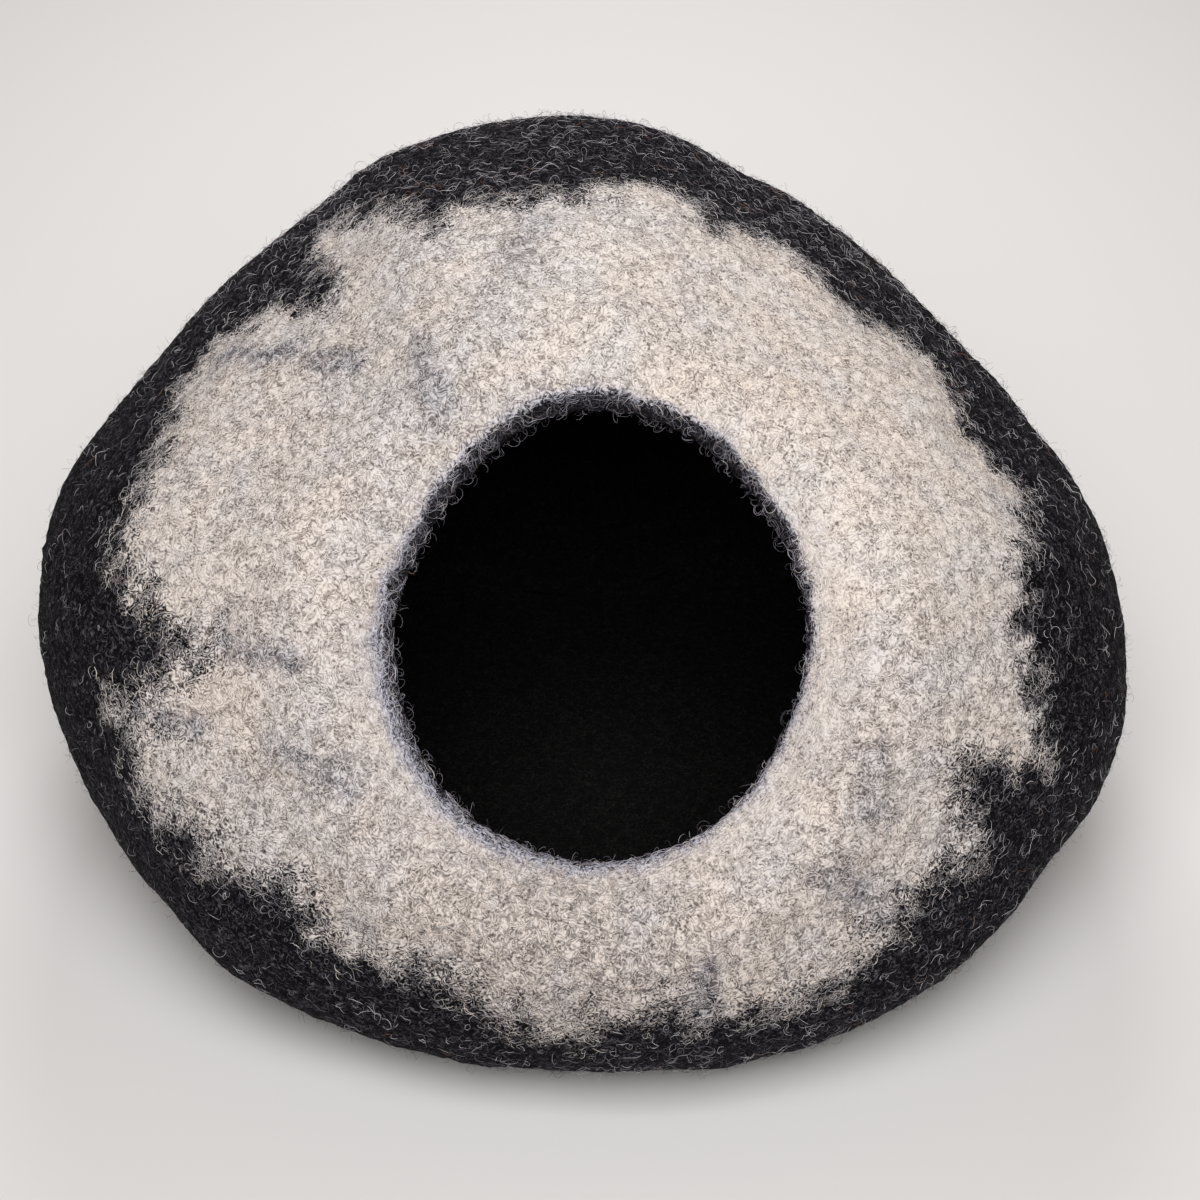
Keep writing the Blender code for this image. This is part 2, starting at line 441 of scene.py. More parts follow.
light_outline = np.array(LIGHT_EDGE, float)
light_outline = spread_flat(np.radians(light_outline[:, 0]), light_outline[:, 1])
lip_distance = np.broadcast_to(from_lip[:, None], clock.shape)
depth, light, bluish, grey, cool = wool_at(skin, clock, lip_distance)
print("light wool on", round(100 * float(light[:len(outer_distances)].mean())), "% of the rings")

# %% [markdown]
# ## The wool's colours
# Wool isn't one colour. The light wool runs from cream to a cool grey, and the black has brown and
# grey hairs in it. Seen close, felt is a mat of strands that lie side by side for a few
# millimetres, then dive under others that lie another way. The contour lines of a soft noise do
# the same: they are close, thin and locally side by side. Two sets of them, one over the other by
# turns, make the mat. Single contour lines of other noises make lone curls on it. Real curls of
# mesh are laid over them further down.
#
# Most of these nodes are of three kinds. A noise gives values around 0.5. A Map Range node picks the
# part of them that matters, from its From Min to its From Max, and stretches it to 0 to 1. A Mix
# node then goes from one colour to another by that share.


# %% Colours and nodes
def linear(hex_colour):
    """The linear colour of an sRGB hex value, by the standard's formula."""
    parts = [int(hex_colour[i:i + 2], 16) / 255 for i in (1, 3, 5)]
    return [p / 12.92 if p <= 0.04045 else ((p + 0.055) / 1.055) ** 2.4 for p in parts] + [1.0]


def new_material(name):
    material = bpy.data.materials.new(name)
    material.use_nodes = True
    material.node_tree.nodes.clear()
    return material, material.node_tree


def add(tree, kind, inputs=(), out=0, **settings):
    """Adds a node and gives one of its outputs. inputs pairs each socket with its value, or with
    the socket that feeds it."""
    node = tree.nodes.new("ShaderNode" + kind)
    for name, value in settings.items():
        setattr(node, name, value)
    for socket, value in dict(inputs).items():
        if isinstance(value, bpy.types.NodeSocket):
            tree.links.new(value, node.inputs[socket])
        else:
            node.inputs[socket].default_value = value
    return node.outputs[out] if node.outputs else None


def per_metre(size):
    """The scale of a pattern whose parts are `size` mm across."""
    return 1 / (size * MM)


# A Mix node's two colours share their names with its two numbers, and a Math node's numbers are all
# named Value, so these sockets are asked for by their place.
COLOUR = {"out": 2, "data_type": "RGBA"}                   # for a Mix node that mixes colours
FIRST, SECOND = 6, 7                                       # its two colours

# %% The drift of colour, shared by the felt and its fibres
CREAM, COOL = "#fcf6f1", "#f3f4f8"
DRIFT_SIZE = 30                                            # mm
ALL_CREAM, ALL_COOL = 0.34, 0.72                           # of the noise


def add_drift(tree, place, lightness):
    """Tints a colour as the light wool is tinted at a place: cream here, and cool there."""
    drift = add(tree, "TexNoise", {"Vector": place, "Scale": per_metre(DRIFT_SIZE), "Detail": 4.0,
                                   "Roughness": 0.6})
    to_cool = add(tree, "MapRange", {"Value": drift, "From Min": ALL_CREAM, "From Max": ALL_COOL})
    cool_share = add(tree, "Attribute", attribute_name="cool", out="Fac")
    to_cool = add(tree, "Math", {0: to_cool, 1: cool_share}, operation="ADD", use_clamp=True)
    tint = add(tree, "Mix", {"Factor": to_cool, FIRST: linear(CREAM), SECOND: linear(COOL)}, **COLOUR)
    return add(tree, "Mix", {"Factor": 1.0, FIRST: tint, SECOND: lightness}, **COLOUR,
               blend_type="MULTIPLY")


# %% Wet-felted wool: the mat
# Wool is keratin, IOR 1.55, but felt is so matt that its gloss is lost between the hairs. Real
# hairs are 0.03 mm thick, too fine to show. They cling in strands of about half a millimetre, and
# those are drawn, a little coarser than they are, so that the render shows them.
WOOL_IOR = 1.55
STRAND_SPACING = 1.25                                      # mm
MAT_SIZES = 6.0, 4.6                                       # mm, how soon each set of strands turns
NOISE_SLOPE = 0.55                                         # how much a noise changes over its size
GROUP_SIZE = 2.4                                           # mm, where one set dives under the other
FIRST_ON_TOP, SECOND_ON_TOP = 0.46, 0.54                   # of the groups' noise

felt, tree = new_material("wet_felted_wool")
place = add(tree, "TexCoord", out="Object")
combed = add(tree, "Attribute", attribute_name="combed", out="Vector")
light_share, bluish_share, grey_share, inside_share, rim_share = [
    add(tree, "Attribute", attribute_name=name, out="Fac")
    for name in ("light", "bluish", "grey", "inside", "rim")]

strand_sets = []
for size in MAT_SIZES:
    noise = add(tree, "TexNoise", {"Vector": place, "Scale": per_metre(size), "Detail": 1.5,
                                   "Roughness": 0.35, "Distortion": 0.6})
    lines = add(tree, "Math", {0: noise, 1: size / NOISE_SLOPE / STRAND_SPACING},
                operation="MULTIPLY")
    wave = add(tree, "Math", {0: lines, 1: 0.5}, operation="PINGPONG")
    strand_sets.append(add(tree, "Math", {0: wave, 1: 2.0}, operation="MULTIPLY"))
groups = add(tree, "TexNoise", {"Vector": place, "Scale": per_metre(GROUP_SIZE), "Detail": 1.0})
on_top = add(tree, "MapRange", {"Value": groups, "From Min": FIRST_ON_TOP,
                                "From Max": SECOND_ON_TOP})
mat = add(tree, "Mix", {"Factor": on_top, "A": strand_sets[0], "B": strand_sets[1]})
print("the mat has", len(tree.nodes), "nodes")

# %% Wet-felted wool: strands combed along the rim
RIM_STRAND = 0.5                                           # mm
RIM_GAP, RIM_TOP = 0.38, 0.65                              # of the rim's noise
COMBED_MOST = 0.4                                          # the most of the mat that is combed

rim_noise = add(tree, "TexNoise", {"Vector": combed, "Scale": per_metre(RIM_STRAND),
                                   "Detail": 1.5})
rim_strands = add(tree, "MapRange", {"Value": rim_noise, "From Min": RIM_GAP, "From Max": RIM_TOP})
combed_share = add(tree, "Math", {0: rim_share, 1: COMBED_MOST}, operation="MULTIPLY")
mat = add(tree, "Mix", {"Factor": combed_share, "A": mat, "B": rim_strands})

# %% Wet-felted wool: pebbles and pinholes, with painted shade in them
# As wool shrinks it gathers in soft pebbles. Pinholes stay open between them, and less near the lip,
# which was rubbed the most. The valleys between the pebbles and the pinholes are painted darker,
# towards the gap's colour: this is painted shade, where less light gets in.
PEBBLE_SIZE, PINHOLE_SIZE = 5.5, 1.2                       # mm
PEBBLE_TOP, VALLEY_FLOOR = 0.22, 0.74                      # from a pebble's middle, in its sizes
PINHOLE_OPEN, PINHOLE_SHUT = 0.30, 0.45                    # of the specks' noise
PINHOLES_ON_TOP, MORE_IN_VALLEY = 0.35, 0.8                # how deep they are
VALLEY_DEPTH = 0.36
RUBBED_AWAY = 0.3                                          # the share of both that is gone at the lip
GREY_DEPTH = 0.15                                          # how much lower grey wool lies

pebbles = add(tree, "TexVoronoi", {"Vector": place, "Scale": per_metre(PEBBLE_SIZE),
                                   "Randomness": 0.9})
valley = add(tree, "MapRange", {"Value": pebbles, "From Min": PEBBLE_TOP,
                                "From Max": VALLEY_FLOOR}, interpolation_type="SMOOTHSTEP")
specks = add(tree, "TexNoise", {"Vector": place, "Scale": per_metre(PINHOLE_SIZE), "Detail": 2.0})
pinhole_shade = add(tree, "MapRange", {"Value": specks, "From Min": PINHOLE_OPEN,
                                 "From Max": PINHOLE_SHUT, "To Min": 1.0, "To Max": 0.0})
in_valley = add(tree, "Math", {0: valley, 1: MORE_IN_VALLEY, 2: PINHOLES_ON_TOP},
                operation="MULTIPLY_ADD")
pinhole_shade = add(tree, "Math", {0: pinhole_shade, 1: in_valley}, operation="MULTIPLY")
hollow = add(tree, "Math", {0: valley, 1: VALLEY_DEPTH, 2: pinhole_shade}, operation="MULTIPLY_ADD")
unrubbed = add(tree, "Math", {0: rim_share, 1: -RUBBED_AWAY, 2: 1.0}, operation="MULTIPLY_ADD")
hollow = add(tree, "Math", {0: hollow, 1: unrubbed}, operation="MULTIPLY")
lower = add(tree, "Math", {0: grey_share, 1: GREY_DEPTH, 2: hollow}, operation="MULTIPLY_ADD")
top = add(tree, "Math", {0: mat, 1: lower}, operation="SUBTRACT")

# %% Wet-felted wool: the light wool's colours
# From the shade in a gap, over the mat's middle, to a strand on top. It is grey where the black shows
# through, also where the light wool thins out, and where painted shade darkens the wool towards the
# bottom.
LIGHT_GAP, LIGHT_MID, LIGHT_STRAND = "#7b736e", "#beb7b2", "#e2dcd6"
GREY_GAP, GREY_MID, GREY_STRAND = "#3d3c41", "#8d8b8e", "#c9c6c8"
BLUISH_GAP, BLUISH_STRAND = "#3d3c46", "#cdcdda"
GAP_TOP, MID_TOP, STRAND_TOP = -0.5, 0.1, 0.6              # how high the mat is there
NOT_GREY, ALL_GREY = 0.1, 1.3                              # of the grey share
THIN, FULL = 0.45, 0.95                                    # of the light share
THIN_IS_GREY = 0.45                                        # how grey the thin wool is at least

greyed = add(tree, "MapRange", {"Value": grey_share, "From Min": NOT_GREY, "From Max": ALL_GREY})
thinned = add(tree, "MapRange", {"Value": light_share, "From Min": THIN, "From Max": FULL,
                                 "To Min": THIN_IS_GREY, "To Max": 0.0})
greyed = add(tree, "Math", {0: greyed, 1: thinned}, operation="MAXIMUM")
gap, mid, strand = [
    add(tree, "Mix", {"Factor": greyed, FIRST: linear(plain), SECOND: linear(grey_one)}, **COLOUR)
    for plain, grey_one in ((LIGHT_GAP, GREY_GAP), (LIGHT_MID, GREY_MID), (LIGHT_STRAND, GREY_STRAND))]
low = add(tree, "MapRange", {"Value": top, "From Min": GAP_TOP, "From Max": MID_TOP})
high = add(tree, "MapRange", {"Value": top, "From Min": MID_TOP, "From Max": STRAND_TOP})
light_wool_colour = add(tree, "Mix", {"Factor": low, FIRST: gap, SECOND: mid}, **COLOUR)
light_wool_colour = add(tree, "Mix", {"Factor": high, FIRST: light_wool_colour, SECOND: strand},
                        **COLOUR)
light_wool_colour = add_drift(tree, place, light_wool_colour)
blue = add(tree, "Mix", {"Factor": mat, FIRST: linear(BLUISH_GAP), SECOND: linear(BLUISH_STRAND)},
           **COLOUR)
light_wool_colour = add(tree, "Mix", {"Factor": bluish_share, FIRST: light_wool_colour,
                                      SECOND: blue}, **COLOUR)

# %% Wet-felted wool: the dark wool's colours
DARK_GAP, DARK_STRAND = "#080709", "#17151a"
LIP_GAP, LIP_STRAND = "#09080a", "#201e23"
DARK_GAP_TOP = 0.35                                        # what is lower than this is all gap

dark_top = add(tree, "MapRange", {"Value": mat, "From Min": DARK_GAP_TOP, "From Max": 1.0})
dark_wool_colour = add(tree, "Mix", {"Factor": dark_top, FIRST: linear(DARK_GAP),
                                     SECOND: linear(DARK_STRAND)}, **COLOUR)
lip_wool_colour = add(tree, "Mix", {"Factor": mat, FIRST: linear(LIP_GAP),
                                    SECOND: linear(LIP_STRAND)}, **COLOUR)
dark_wool_colour = add(tree, "Mix", {"Factor": rim_share, FIRST: dark_wool_colour,
                                     SECOND: lip_wool_colour}, **COLOUR)

# %% Wet-felted wool: light over dark
# Light strands lie on the black, so where they are sparse the tops of the mat are lightest.
SPARSEST, DENSEST = 0.25, 0.75                             # of the specks' noise
SPARSE, DENSE = -0.4, -0.1                                 # what the specks add to the light share
MAT_WEIGHT = 0.5                                           # and what the mat's tops add
STILL_DARK, ALL_LIGHT = 0.34, 0.70                         # of the sum

clumps = add(tree, "MapRange", {"Value": specks, "From Min": SPARSEST, "From Max": DENSEST,
                                "To Min": SPARSE, "To Max": DENSE})
light_here = add(tree, "Math", {0: mat, 1: MAT_WEIGHT, 2: clumps}, operation="MULTIPLY_ADD")
light_here = add(tree, "Math", {0: light_here, 1: light_share}, operation="ADD")
is_light = add(tree, "MapRange", {"Value": light_here, "From Min": STILL_DARK,
                                  "From Max": ALL_LIGHT})
colour = add(tree, "Mix", {"Factor": is_light, FIRST: dark_wool_colour,
                           SECOND: light_wool_colour}, **COLOUR)
print("the felt's colours have", len(tree.nodes), "nodes")

# %% Wet-felted wool: lone curls
# size of the curl in mm, its colour, and whether it lies on the dark wool or the light
LONE_CURLS = [
    (4.2, "#423f45", 0), (3.2, "#312e34", 0), (5.2, "#57535a", 0),
    (5.0, "#7d7777", 1), (6.5, "#6b6666", 1),
]
CURL_WIDTH = 0.28                                          # mm
CURL_HIDES, CURL_SHOWS = 0.46, 0.52                        # of the noise before it
MAT_HEIGHT = 0.5                                           # in parts of a curl's

last_noise = groups
height = add(tree, "Math", {0: mat, 1: MAT_HEIGHT}, operation="MULTIPLY")
for size, curl_colour, on_light in LONE_CURLS:
    noise = add(tree, "TexNoise", {"Vector": place, "Scale": per_metre(size), "Detail": 1.5,
                                   "Distortion": 0.9})
    off = add(tree, "Math", {0: noise, 1: 0.5}, operation="SUBTRACT")
    off = add(tree, "Math", {0: off}, operation="ABSOLUTE")
    line = add(tree, "MapRange", {"Value": off, "From Min": 0.0,
                                  "From Max": CURL_WIDTH * NOISE_SLOPE / size,
                                  "To Min": 1.0, "To Max": 0.0}, interpolation_type="SMOOTHSTEP")
    shown = add(tree, "MapRange", {"Value": last_noise, "From Min": CURL_HIDES,
                                   "From Max": CURL_SHOWS})
    curl = add(tree, "Math", {0: line, 1: shown}, operation="MULTIPLY")
    if on_light:
        where = add(tree, "Math", {0: is_light, 1: greyed}, operation="MULTIPLY")
    else:
        where = add(tree, "Math", {0: 1.0, 1: is_light}, operation="SUBTRACT")
    curl = add(tree, "Math", {0: curl, 1: where}, operation="MULTIPLY")
    colour = add(tree, "Mix", {"Factor": curl, FIRST: colour, SECOND: linear(curl_colour)}, **COLOUR)
    height = add(tree, "Math", {0: height, 1: curl}, operation="MAXIMUM")
    last_noise = noise

# %% Wet-felted wool: the black inside, and the surface
INSIDE_GAP, INSIDE_STRAND = "#090909", "#1f1e1d"
INSIDE_GAP_TOP = 0.2                                       # what is lower than this is all gap
PEBBLE_BUMP = -0.9                                         # how a valley's depth counts beside a curl's
BUMP_HEIGHT = 0.5                                          # mm

strand_height = add(tree, "MapRange", {"Value": height, "From Min": INSIDE_GAP_TOP, "From Max": 1.0})
inside_colour = add(tree, "Mix", {"Factor": strand_height, FIRST: linear(INSIDE_GAP),
                                  SECOND: linear(INSIDE_STRAND)}, **COLOUR)
colour = add(tree, "Mix", {"Factor": inside_share, FIRST: colour, SECOND: inside_colour}, **COLOUR)
pebble_height = add(tree, "Math", {0: valley, 1: PEBBLE_BUMP}, operation="MULTIPLY")
height = add(tree, "Math", {0: height, 1: pebble_height}, operation="ADD")
bump = add(tree, "Bump", {"Height": height, "Strength": 0.5, "Distance": BUMP_HEIGHT * MM})
shader = add(tree, "BsdfPrincipled", {"Base Color": colour, "Roughness": 0.95, "IOR": WOOL_IOR,
                                      "Specular IOR Level": 0.05, "Normal": bump})
add(tree, "OutputMaterial", {"Surface": shader})
print("the felt's material has", len(tree.nodes), "nodes")

# %% [markdown]
# ## Making the shell
# A closed grid needs no modelling by hand: each ring joins the next by a band of four-sided faces,
# and a fan of triangles closes each end. The share of light wool is stored on the points, where
# the material finds it again. So is a second place for each point, squeezed together round the
# mouth: a noise that is read there comes out drawn along the rim, as the wool was rubbed.

# %% Where the strands are combed along the rim
# Every 30 degrees, in mm from the lip's middle: the combing is whole over half of this width, and
# ends at one and a half times it. The black inside starts just outside the lip's middle.
COMBED_WIDTH = [10, 16, 24, 26, 24, 20, 22, 26, 26, 18, 12, 10]
COMBED_END = 1.5
COMBED_SQUEEZE = 6          # how much longer than wide a strand comes out
INSIDE_STARTS, INSIDE_FEATHER = 5, 7    # mm outside the lip's middle, and mm until it is whole

rim = np.clip(COMBED_END - abs(lip_distance) / around(clock, COMBED_WIDTH), 0, 1)
squeezed = MOUTH_RADIUS / COMBED_SQUEEZE
combed_place = np.stack([squeezed * np.cos(clock), squeezed * np.sin(clock), lip_distance], -1)
is_inside = np.clip((INSIDE_STARTS - lip_distance) / INSIDE_FEATHER, 0, 1) * (1 - light)


# %% Make a mesh piece
def mesh_piece(name, points, faces, material, **point_values):
    """A smooth mesh object from points in mm. point_values are kept on its points."""
    mesh = bpy.data.meshes.new(name)
    mesh.from_pydata((points * MM).tolist(), [], faces)
    mesh.shade_smooth()
    mesh.materials.append(material)
    for value_name, values in point_values.items():
        kind, field = ("FLOAT_VECTOR", "vector") if values.ndim == 2 else ("FLOAT", "value")
        attribute = mesh.attributes.new(value_name, kind, "POINT")
        attribute.data.foreach_set(field, values.astype(np.float32).ravel())
    piece = bpy.data.objects.new(name, mesh)
    bpy.context.scene.collection.objects.link(piece)
    print(name, "has", sum(len(face) - 2 for face in faces), "triangles")
    return piece


# %% The shell's mesh
def with_ends(grid):
    """Lists a grid's values, then the middle of its first ring and of its last."""
    flat = grid.reshape(-1, *grid.shape[2:])
    return np.concatenate([flat, [grid[0].mean(0), grid[-1].mean(0)]])


ring, step = np.meshgrid(np.arange(rings - 1), np.arange(CLOCK_STEPS), indexing="ij")
here, beside = [(ring * CLOCK_STEPS + (step + i) % CLOCK_STEPS).ravel() for i in (0, 1)]
quads = np.stack([here, beside, beside + CLOCK_STEPS, here + CLOCK_STEPS], -1).tolist()
first_end, last_end = rings * CLOCK_STEPS, rings * CLOCK_STEPS + 1
last_ring = (rings - 1) * CLOCK_STEPS
fans = [[first_end, (i + 1) % CLOCK_STEPS, i] for i in range(CLOCK_STEPS)]
fans += [[last_end, last_ring + i, last_ring + (i + 1) % CLOCK_STEPS] for i in range(CLOCK_STEPS)]
shell = mesh_piece(
    "felt_shell_wool", with_ends(skin), quads + fans, felt, light=with_ends(light),
    bluish=with_ends(bluish), grey=with_ends(grey), rim=with_ends(rim), inside=with_ends(is_inside),
    cool=with_ends(cool), combed=with_ends(combed_place) * MM)
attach(shell, "root")
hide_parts("felt_shell")

# %% [markdown]
# ## Loose fibres
# What makes felt look soft is the layer of curls that the felting didn't catch. Most fibres here
# start somewhere on the skin and walk over it in short steps, turning as they go, a little above
# the felt. Most dive back in, and some end in the air. Others stand up from the skin as arcs,
# which show as loops from any side. All fibres of a piece take each step together, as arrays,
# because thousands of separate curves would be slow. A fibre then becomes a tube of three sides,
# closed to a point at each end.

# %% Read the skin between its points
GAP_GUARD = 1e-6            # mm added to each gap, so that none is zero

ring_gap = np.linalg.norm(np.diff(skin, axis=0, append=skin[-1:]), axis=-1) + GAP_GUARD
column_gap = np.linalg.norm(np.roll(skin, -1, 1) - skin, axis=-1) + GAP_GUARD
last_place = rings - 1.001  # just short of the last ring, as each place needs a ring after it


def on_skin(ring, column, *grids):
    """Reads grids between their rings and clock steps."""
    ring = np.clip(ring, 0, last_place)
    r, c = np.floor(ring).astype(int), np.floor(column).astype(int)
    down, across = ring - r, column - c
    corners = []
    for i in (0, 1):
        for j in (0, 1):
            share = (down if i else 1 - down) * (across if j else 1 - across)
            corners.append((r + i, (c + j) % CLOCK_STEPS, share))
    return [sum(grid[a, b] * (share[:, None] if grid.ndim == 3 else share) for a, b, share in corners)
            for grid in grids]


print("the skin's points are", ring_gap.mean().round(1), "by", column_gap.mean().round(1), "mm apart")

# %% Walk over the skin
BASE_CLEARANCE = 0.4        # mm that a fibre stays above the floor
KINKS, KINK_TURN = 0.08, 0.8    # the share of steps at which a fibre kinks, and how many radians


def walk(random, ring, column, heading, step, curl, wobble, heights):
    """The points of fibres that start at ring and column, one row each, and the felt's outwards."""
    points, ups = [], []
    grids = skin, skin_outwards, ring_gap, column_gap
    for height in heights.T:
        place, up, down_gap, across_gap = on_skin(ring, column, *grids)
        place = place + unit(up) * height[:, None]
        place[:, 2] = np.maximum(place[:, 2], BASE_CLEARANCE)
        points.append(place)
        ups.append(unit(up))
        ring = ring + step * np.cos(heading) / down_gap
        column = column + step * np.sin(heading) / across_gap
        count = len(heading)
        kink = (random.uniform(0, 1, count) < KINKS) * random.normal(0, KINK_TURN, count)
        heading = heading + curl * step + random.normal(0, wobble, count) + kink
    return np.stack(points, 1), np.stack(ups, 1)


# %% Stand up from the skin
FIRST_BEND = 0.9            # radians round its circle at which an arc leaves the felt
ARC_DRIFT = 0.25            # how far an arc winds aside as it turns, in parts of its radius
ARC_LEAN = 0.9              # the most radians that an arc leans over


def arcs(random, ring, column, size, sweep, steps):
    """The points of fibres that stand up as arcs of circles, and the directions across the arcs."""
    place, up = on_skin(ring, column, skin, skin_outwards)
    up = unit(up)
    forward = unit(np.cross(up, random.normal(size=up.shape)))
    side = np.cross(up, forward)
    tilt = random.uniform(-ARC_LEAN, ARC_LEAN, len(up))[:, None]
    rise = up * np.cos(tilt) + side * np.sin(tilt)
    across = side * np.cos(tilt) - up * np.sin(tilt)
    bend = FIRST_BEND + np.linspace(0, 1, steps) * sweep[:, None]
    moves = zip((forward, rise, across),
                (np.sin(bend), cos(FIRST_BEND) - np.cos(bend), ARC_DRIFT * (bend - FIRST_BEND)))
    points = place[:, None] + sum(way[:, None] * (size[:, None] * far)[..., None]
                                  for way, far in moves)
    points[..., 2] = np.maximum(points[..., 2], BASE_CLEARANCE)
    return points, np.broadcast_to(across[:, None], points.shape)


# %% Turn lines into tubes
TUBE_SIDES = 3
TAPER = 0.4                 # less keeps a tube thick nearer to its ends


def tubes(lines, ups, radius):
    """Closed tapering tubes round lines. Returns all points, all faces, and points a tube."""
    count, steps, _ = lines.shape
    along = unit(np.gradient(lines, axis=1))
    side = unit(np.cross(along, ups))
    up = np.cross(side, along)
    taper = np.sin(np.linspace(0, pi, steps)) ** TAPER
    rows = []
    for angle in np.arange(TUBE_SIDES) * 2 * pi / TUBE_SIDES + pi / 2:
        around_it = side * cos(angle) + up * sin(angle)
        rows.append(lines + around_it * (radius[:, None] * taper)[..., None])
    body = np.stack(rows, 2)[:, 1:-1].reshape(count, -1, 3)
    points = np.concatenate([lines[:, :1], body, lines[:, -1:]], 1)
    last = points.shape[1] - 1
    faces = []
    for i in range(TUBE_SIDES):
        j = (i + 1) % TUBE_SIDES
        faces.append([0, 1 + j, 1 + i])
        faces.append([last, last - TUBE_SIDES + i, last - TUBE_SIDES + j])
        for k in range(steps - 3):
            low, high = 1 + k * TUBE_SIDES, 1 + (k + 1) * TUBE_SIDES
            faces.append([low + i, low + j, high + j, high + i])
    starts = (np.arange(count) * (last + 1)).tolist()
    all_faces = [[start + corner for corner in face] for start in starts for face in faces]
    return points.reshape(-1, 3), all_faces, last + 1


# %% [markdown]
# ## The fibres' wool
# A sheep's wool has darker and paler hairs, and the few pale ones on the black catch the eye most.
# So each fibre carries a number of its own, its tone, on its points. The material looks that up in
# a colour ramp, from the darkest hair of that wool to the palest. One material then serves
# thousands of fibres that all differ.

# %% Wool fibres
# Wool again, so keratin. A real hair lets a little light through, but one tube here stands for a
# strand of several hairs, so it is opaque, and a little smoother than the mat.
def fibre_material(name, tones, drifts=False):
    material, tree = new_material(name)
    tone = add(tree, "Attribute", attribute_name="tone", out="Fac")
    ramp = tree.nodes.new("ShaderNodeValToRGB")
    tree.links.new(tone, ramp.inputs[0])
    stops = ramp.color_ramp.elements
    while len(stops) < len(tones):
        stops.new(0.5)                                     # its place is set below
    for stop, (position, hex_colour) in zip(stops, tones):
        stop.position, stop.color = position, linear(hex_colour)
    colour = ramp.outputs[0]
    if drifts:
        colour = add_drift(tree, add(tree, "TexCoord", out="Object"), colour)
    shader = add(tree, "BsdfPrincipled", {"Base Color": colour, "Roughness": 0.8, "IOR": WOOL_IOR,
                                          "Specular IOR Level": 0.1})
    add(tree, "OutputMaterial", {"Surface": shader})
    print(name, "has", len(tones), "tones")
    return material


light_wool = fibre_material("light_wool_fibre", [
    (0, "#5c5656"), (0.2, "#a29b97"), (0.5, "#ccc5c0"), (1, "#ece6e0")], drifts=True)
black_wool = fibre_material("black_wool_fibre", [      # the last is a rare brown hair
    (0, "#121114"), (0.3, "#343137"), (0.6, "#77737a"), (0.975, "#dedade"), (0.985, "#86624c")])
grey_wool = fibre_material("grey_wool_fibre", [(0, "#1f1e22"), (0.4, "#7d7a7e"), (1, "#e2dedd")])
lip_wool = fibre_material("lip_wool_fibre", [(0, "#1b1a1f"), (0.5, "#77737e"), (1, "#d9d7e4")])

# %% [markdown]
# ## Growing the fibres
# Loose fibres don't lie evenly: the light wool is matted with short curls, a ragged ring of them
# lies on the black all round the patch, and the black has long lone hairs. So each kind has a
# weight for every place on the skin, and starts its fibres by lot, more where the weight is more.

# %% Where fibres grow
CAMERA_HEIGHT_ANGLE = radians(38)
OUTER_BEGINS = -4           # mm from the lip's middle
ABOVE_BASE = 2.0            # mm above the floor
FRONT_SLOPE, FRONT_LEVEL = 2, 0.9       # how soon the fibres get fewer as the felt turns away
FEWEST = 0.4                # the share of them that is left on the far side

to_camera = np.array([0, -cos(CAMERA_HEIGHT_ANGLE), sin(CAMERA_HEIGHT_ANGLE)])
cell_area = ring_gap * column_gap
is_outer = lip_distance > OUTER_BEGINS
off_base = skin[..., 2] > ABOVE_BASE
faces_front = np.clip(skin_outwards @ to_camera * FRONT_SLOPE + FRONT_LEVEL, FEWEST, 1)
on_face = cell_area * is_outer * off_base * faces_front
print("fibres grow on", (cell_area * is_outer * off_base).sum().round(-3), "square mm")


def near(values, middle, width):
    """1 where values are at the middle, and less the further they are from it."""
    return np.exp(-((values - middle) / width) ** 2)


def mostly(low, high, power=1.0, lower_by=np.zeros_like(grey)):
    """Random tones from low to high. A power over 1 favours the low ones, and lower_by takes up to
    that much off them, place by place."""
    def tone(random, cell):
        lower = lower_by.ravel()[cell] * random.uniform(0, 1, len(cell))
        return np.clip(low + (high - low) * random.uniform(0, 1, len(cell)) ** power - lower, 0, 1)
    return tone


# %% One piece of many fibres
TALLEST = 2.5               # no fibre stands more than this many times its piece's lift
ROOT_DEPTH = 0.15           # mm that a fibre's ends are in the felt
LOW_LYING = 1.3             # the less this is, the more of the fibres lie low
BROAD_ARCH = 0.7            # less makes a fibre rise and dive more steeply
OFF_RIM = 0.35              # radians that a combed fibre strays from the rim's direction
WANDER = 0.16               # radians a mm that any fibre's heading wanders
SWINGS = 4, 12              # the radians of sway that a fibre goes through on its way
THICKNESSES = 0.7, 1.25     # of the fibres, in parts of their piece's radius
LOOP_SIZES, LOOP_SWEEPS = (0.5, 1.6), (2.2, 4.6)    # in parts of their piece's loop, and radians


